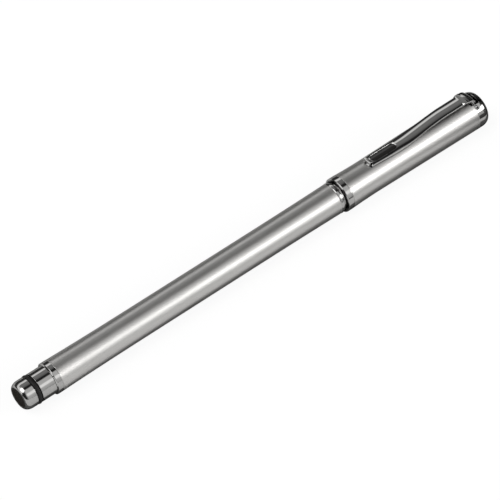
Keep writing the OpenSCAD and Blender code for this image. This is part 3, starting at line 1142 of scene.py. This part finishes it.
# bands of the studio round the pen: the angle from the camera in degrees, and the level of grey
BANDS_ACROSS = (
    (-180, 0.5), (-100, 0.5), (-60, 0.7), (-40, 0.95), (-29, 1.1), (-23, 2.0),
    (-9, 2.0), (-3, 1.1), (21, 1.05), (26, 0.03), (40, 0.04), (45, 0.25),
    (60, 0.4), (77, 0.37), (80, 1.6), (93, 1.6), (98, 0.06), (120, 0.1),
)
BANDS_TAILWARD = (
    (-180, 0.3), (-100, 0.3), (-60, 0.04), (20, 0.04), (32, 1.7), (92, 1.7), (102, 0.06),
)

# how far along the pen a ray points, from -1 to 1, where the bands change and where they grow dark
TAILWARD_FADE = (-0.5, -0.2)
CROWNWARD_FADE = (0.5, 0.7)
CROWNWARD_LEVEL = 0.06


def view_axes():
    """The direction to the camera, and the two directions across it: along the pen and over it."""
    toward = Vector(
        (
            -math.sin(CAMERA_TILT),
            -math.cos(CAMERA_TILT) * math.sin(CAMERA_TURN),
            math.cos(CAMERA_TILT) * math.cos(CAMERA_TURN),
        )
    )
    along = (Vector((1, 0, 0)) - toward.x * toward) / math.cos(CAMERA_TILT)
    return toward, along, toward.cross(along)


def stand(obj, at, right, up, back):
    """Places a camera or lamp by its own axes."""
    turn = Matrix((right, up, back)).transposed().to_4x4()
    obj.matrix_world = Matrix.Translation(at) @ turn


class PEN_OT_stage(bpy.types.Operator):
    """Set the floor, the soft light and the camera"""

    bl_idname = "pen.stage"
    bl_label = "Stage"

    def execute(self, context):
        scene = context.scene
        stage = scene.pen_stage
        scene.view_settings.view_transform = "Standard"
        toward, along, over = view_axes()

        camera = bpy.data.objects.new("camera", bpy.data.cameras.new("camera"))
        scene.collection.objects.link(camera)
        camera.data.sensor_width = 36
        camera.data.lens = stage.lens
        camera.data.clip_start = 0.01
        turn = CAMERA_ROLL
        stand(
            camera,
            CAMERA_AIM + toward * stage.camera_away,
            along * math.cos(turn) - over * math.sin(turn),
            along * math.sin(turn) + over * math.cos(turn),
            toward,
        )
        scene.camera = camera

        bpy.ops.object.select_all(action="DESELECT")
        bpy.ops.mesh.primitive_circle_add(
            vertices=64, radius=FLOOR_R, fill_type="NGON", location=(0, 0, FLOOR_Z)
        )
        floor = bpy.context.object
        floor.name = "floor"
        floor.data.materials.append(self.floor_finish(stage.lift, stage.shine))
        bpy.ops.object.transform_apply(location=True, rotation=True, scale=True)

        low = KEY_TURN - CAMERA_TURN
        radial = Vector((0, math.sin(low), math.cos(low))) * math.cos(KEY_TILT)
        key = Vector((math.sin(KEY_TILT), 0, 0)) + radial
        self.lamp("key", key, stage.key_l, stage.key_w, stage.key_power)
        self.lamp("fill", FILL_FROM, FILL_W, FILL_W, stage.fill_power)
        far_middle = FAR_EDGE + FAR_SIDE * (FAR_W / 2)
        self.card("far_card", far_middle, FAR_SIDE, FAR_W, FAR_W, 0.02)
        # The mat under the pen is a painted shadow: a dark sheet that only the metal sees, where the
        # floor lies in the pen's shade.
        self.card("mat", SHADOW_MAT_MIDDLE, SHADOW_MAT_SIDE, SHADOW_MAT_L, SHADOW_MAT_W, 0.2)
        self.sky(scene)
        return {"FINISHED"}

    def card(self, name, at, right, long, wide, level):
        """A card that lies on the floor and that only the metal sees, as dark as its level; the one under
        the pen is a painted shadow.
        """
        bpy.ops.object.select_all(action="DESELECT")
        bpy.ops.mesh.primitive_plane_add(
            size=1, location=at, rotation=(0, 0, math.atan2(right.y, right.x))
        )
        card = bpy.context.object
        card.name = name
        card.scale = (long, wide, 1)
        bpy.ops.object.transform_apply(location=True, rotation=True, scale=True)
        tree, shader = new_finish(name, 0.9, 0)
        tint(tree, grain(tree, (300, 300, 300)), (level,) * 3, 0.2, shader.inputs["Base Color"])
        card.data.materials.append(finish_of(name))
        card.visible_camera = False
        card.visible_diffuse = False
        card.visible_shadow = False

    def lamp(self, name, toward, long, wide, power):
        """A soft lamp that faces the pen's middle, with its long side along the pen."""
        light = bpy.data.lights.new(name, "AREA")
        light.shape = "RECTANGLE"
        light.size = long
        light.size_y = wide
        light.energy = power
        obj = bpy.data.objects.new(name, light)
        bpy.context.scene.collection.objects.link(obj)
        toward = toward.normalized()
        right = (Vector((1, 0, 0)) - toward.x * toward).normalized()
        away = bpy.context.scene.pen_stage.key_away
        stand(obj, LAMP_AIM + toward * away, right, toward.cross(right), toward)

    def floor_finish(self, lift, shine):
        """A pale floor: white under any light, with the pen's shadow kept on it."""
        material = bpy.data.materials.new("floor")
        material.use_nodes = True
        tree = material.node_tree
        tree.nodes.clear()
        rays = add_node(tree, "LightPath")
        lifted = 0
        parts = {"Is Camera Ray": lift, "Is Glossy Ray": shine, "Is Transmission Ray": shine}
        for ray, part in parts.items():
            inputs = {0: rays.outputs[ray], 1: part, 2: lifted}
            add = add_node(tree, "Math", inputs, operation="MULTIPLY_ADD", use_clamp=True)
            lifted = add.outputs[0]
        paint = add_node(tree, "BsdfDiffuse", {"Color": (0.96, 0.96, 0.96, 1)})
        white = add_node(tree, "Emission", {"Color": (1, 1, 1, 1)})
        inputs = {"Fac": lifted, 1: paint.outputs[0], 2: white.outputs[0]}
        mixer = add_node(tree, "MixShader", inputs)
        add_node(tree, "OutputMaterial", {"Surface": mixer.outputs[0]})
        return material

    def sky(self, scene):
        """A studio round the pen: soft light and dark bands that run along it."""
        world = bpy.data.worlds.new("studio")
        scene.world = world
        world.use_nodes = True
        tree = world.node_tree
        tree.nodes.clear()
        ray = add_node(tree, "TexCoord").outputs["Generated"]
        sideways = (0, math.cos(CAMERA_TURN), math.sin(CAMERA_TURN))
        to_camera = (0, -math.sin(CAMERA_TURN), math.cos(CAMERA_TURN))
        parts = {}
        for i, axis in enumerate((sideways, to_camera)):
            dot = add_node(tree, "VectorMath", {0: ray, 1: axis}, operation="DOT_PRODUCT")
            parts[i] = dot.outputs["Value"]
        angle = add_node(tree, "Math", parts, operation="ARCTAN2").outputs[0]
        inputs = {"Value": angle, "From Min": -math.pi, "From Max": math.pi}
        turn = add_node(tree, "MapRange", inputs).outputs["Result"]
        split = add_node(tree, "SeparateXYZ", {"Vector": ray})
        across = self.bands(tree, turn, BANDS_ACROSS)
        tailward = self.bands(tree, turn, BANDS_TAILWARD)
        both = add_node(tree, "Mix", data_type="RGBA")
        between(tree, split.outputs["X"], 1, 0, both.inputs["Factor"], TAILWARD_FADE)
        tree.links.new(across, both.inputs["A"])
        tree.links.new(tailward, both.inputs["B"])
        light = add_node(tree, "Background", {"Color": both.outputs["Result"]})
        strength = light.inputs["Strength"]
        between(tree, split.outputs["X"], 1, CROWNWARD_LEVEL, strength, CROWNWARD_FADE)
        add_node(tree, "OutputWorld", {"Surface": light.outputs[0]})

    def bands(self, tree, factor, levels):
        """Bands of grey round the pen, each given by its angle from the camera and its level."""
        ramp = add_node(tree, "ValToRGB", {"Fac": factor})
        elements = ramp.color_ramp.elements
        while len(elements) < len(levels):
            elements.new(1)
        for element, (degrees, level) in zip(elements, levels):
            element.position = (degrees + 180) / 360
            element.color = (level, level, level, 1)
        return ramp.outputs["Color"]


OPERATORS = (
    PEN_OT_tail,
    PEN_OT_barrel,
    PEN_OT_section,
    PEN_OT_tip,
    PEN_OT_cap,
    PEN_OT_crown,
    PEN_OT_clip,
    PEN_OT_inner,
    PEN_OT_stage,
)

GROUPS = {"pen_sizes": PenSizes, "pen_finishes": PenFinishes, "pen_stage": PenStage}


class PEN_PT_panel(bpy.types.Panel):
    """Lists the pen's operators, sizes, finishes and stage"""

    bl_idname = "PEN_PT_panel"
    bl_label = "Capped stylus pen"
    bl_space_type = "VIEW_3D"
    bl_region_type = "UI"
    bl_category = "Pen"

    def draw(self, context):
        layout = self.layout
        for operator in OPERATORS:
            layout.operator(operator.bl_idname)
        for group, owner in GROUPS.items():
            box = layout.box()
            for name in owner.__annotations__:
                box.prop(getattr(context.scene, group), name)


def register():
    for cls in (*GROUPS.values(), *OPERATORS, PEN_PT_panel):
        bpy.utils.register_class(cls)
    for name, group in GROUPS.items():
        setattr(bpy.types.Scene, name, bpy.props.PointerProperty(type=group))


def unregister():
    for name in GROUPS:
        delattr(bpy.types.Scene, name)
    for cls in (PEN_PT_panel, *OPERATORS[::-1], *GROUPS.values()):
        bpy.utils.unregister_class(cls)


def main():
    register()
    for name in ("tail", "barrel", "section", "tip", "cap", "crown", "clip", "inner", "stage"):
        getattr(bpy.ops.pen, name)()


if __name__ == "__main__":
    main()
